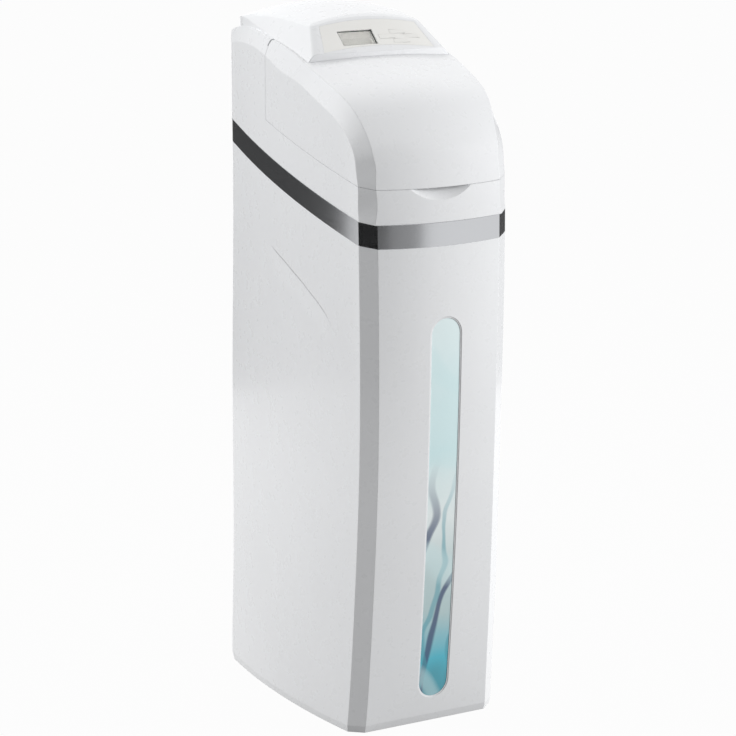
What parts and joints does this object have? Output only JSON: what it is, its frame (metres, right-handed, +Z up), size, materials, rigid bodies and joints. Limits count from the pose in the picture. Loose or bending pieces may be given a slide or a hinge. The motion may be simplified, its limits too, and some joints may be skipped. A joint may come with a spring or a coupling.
{
  "type": "cabinet water softener",
  "caption": "Tall cabinet water softener: lifting salt lid, sloped control panel, resin vessel, geared rotary valve, bypass and brine well.",
  "frame": {"origin": "centre of the cabinet's footprint, on the floor", "axes": "+Z up, -Y towards the front, +X to the right seen from the front"},
  "size_m": [0.2932, 0.5084, 1.1164],
  "materials": {
    "cabinet_white": "glossy moulded white plastic",
    "strip_teal": "glossy printed inlay, aqua to deep teal",
    "band_metal": "bright metal trim",
    "panel_cream": "smooth cream panel",
    "lens_clear": "clear display window",
    "display_grey": "grey liquid crystal display",
    "board_green": "green circuit board",
    "vessel_shell": "natural wound glass-fibre vessel",
    "black_plastic": "black moulded plastic",
    "resin_amber": "amber resin beads",
    "pipe_grey": "grey plastic pipe",
    "gear_white": "white nylon",
    "motor_steel": "plated steel",
    "well_white": "white plastic tube",
    "float_blue": "blue float",
    "line_clear": "translucent plastic tube"
  },
  "bodies": {
    "housing": {"cabinet_body": "cabinet_white", "front_strip": "strip_teal", "trim_band": "band_metal", "top_cover": "cabinet_white", "lid_hinge_pins": "motor_steel", "cover_screws": "motor_steel", "control_panel": "panel_cream", "display_lens": "lens_clear", "display_module": "display_grey", "circuit_board": "board_green", "board_screws": "motor_steel", "pressure_vessel": "vessel_shell", "vessel_boot": "black_plastic", "riser_tube": "pipe_grey", "lower_basket": "gear_white", "upper_basket": "gear_white", "resin_bed": "resin_amber", "valve_body": "black_plastic", "valve_bonnet": "black_plastic", "bonnet_screws": "motor_steel", "motor_bridge": "motor_steel", "drive_motor": "motor_steel", "brine_fitting": "gear_white", "drain_fitting": "pipe_grey", "injector_cap": "black_plastic", "turbine_cage": "gear_white", "turbine_pin": "motor_steel", "bypass_body": "black_plastic", "bypass_clips": "gear_white", "brine_well": "well_white", "brine_valve": "gear_white", "float_rod": "pipe_grey", "float_stops": "gear_white", "brine_pickup": "gear_white", "brine_line": "line_clear", "salt_platform": "well_white", "overflow_elbow": "black_plastic", "overflow_nut": "black_plastic", "power_jack": "black_plastic"},
    "lid": {"salt_lid": "cabinet_white"},
    "rotor": {"drive_gear": "gear_white", "valve_rotor": "gear_white"},
    "pinion": {"motor_pinion": "gear_white"},
    "turbine": {"flow_turbine": "gear_white"},
    "outlet_knob": {"bypass_knob_outlet": "pipe_grey"},
    "inlet_knob": {"bypass_knob_inlet": "pipe_grey"},
    "float": {"brine_float": "float_blue"},
    "well_cap": {"brine_well_cap": "well_white"},
    "button_left_key": {"button_left": "panel_cream"},
    "button_right_key": {"button_right": "panel_cream"},
    "button_up_key": {"button_up": "panel_cream"},
    "button_down_key": {"button_down": "panel_cream"}
  },
  "joints": [
    {"name": "lid_hinge", "type": "hinge", "parent": "housing", "child": "lid", "pos_m": [0, 0.032, 1.056], "axis": [-1, 0, 0], "range_deg": [0, 95]},
    {"name": "rotor_turn", "type": "hinge", "parent": "housing", "child": "rotor", "pos_m": [0, 0.1, 0.993], "axis": [0, 0, 1], "continuous": true},
    {"name": "pinion_turn", "type": "hinge", "parent": "housing", "child": "pinion", "pos_m": [0, 0.05485, 0.993], "axis": [0, 0, 1], "continuous": true},
    {"name": "turbine_spin", "type": "hinge", "parent": "housing", "child": "turbine", "pos_m": [-0.038, 0.1685, 0.962], "axis": [0, 1, 0], "continuous": true},
    {"name": "outlet_knob_turn", "type": "hinge", "parent": "housing", "child": "outlet_knob", "pos_m": [-0.038, 0.221, 0.984], "axis": [0, 0, 1], "range_deg": [0, 90]},
    {"name": "inlet_knob_turn", "type": "hinge", "parent": "housing", "child": "inlet_knob", "pos_m": [0.038, 0.221, 0.984], "axis": [0, 0, 1], "range_deg": [0, 90]},
    {"name": "float_slide", "type": "slide", "parent": "housing", "child": "float", "axis": [0, 0, 1], "range_m": [0, 0.03]},
    {"name": "well_cap_lift", "type": "slide", "parent": "housing", "child": "well_cap", "axis": [0, 0, 1], "range_m": [0, 0.06]},
    {"name": "button_left_press", "type": "slide", "parent": "housing", "child": "button_left_key", "axis": [0, 0.6639, -0.7478], "range_m": [0, 0.001], "stiffness_N_per_m": 400, "springref_m": -0.0002},
    {"name": "button_right_press", "type": "slide", "parent": "housing", "child": "button_right_key", "axis": [0, 0.6639, -0.7478], "range_m": [0, 0.001], "stiffness_N_per_m": 400, "springref_m": -0.0002},
    {"name": "button_up_press", "type": "slide", "parent": "housing", "child": "button_up_key", "axis": [0, 0.6639, -0.7478], "range_m": [0, 0.001], "stiffness_N_per_m": 400, "springref_m": -0.0002},
    {"name": "button_down_press", "type": "slide", "parent": "housing", "child": "button_down_key", "axis": [0, 0.6639, -0.7478], "range_m": [0, 0.001], "stiffness_N_per_m": 400, "springref_m": -0.0002}
  ],
  "couplings": [
    {"joint": "pinion_turn", "follows": "rotor_turn", "ratio": -4}
  ]
}
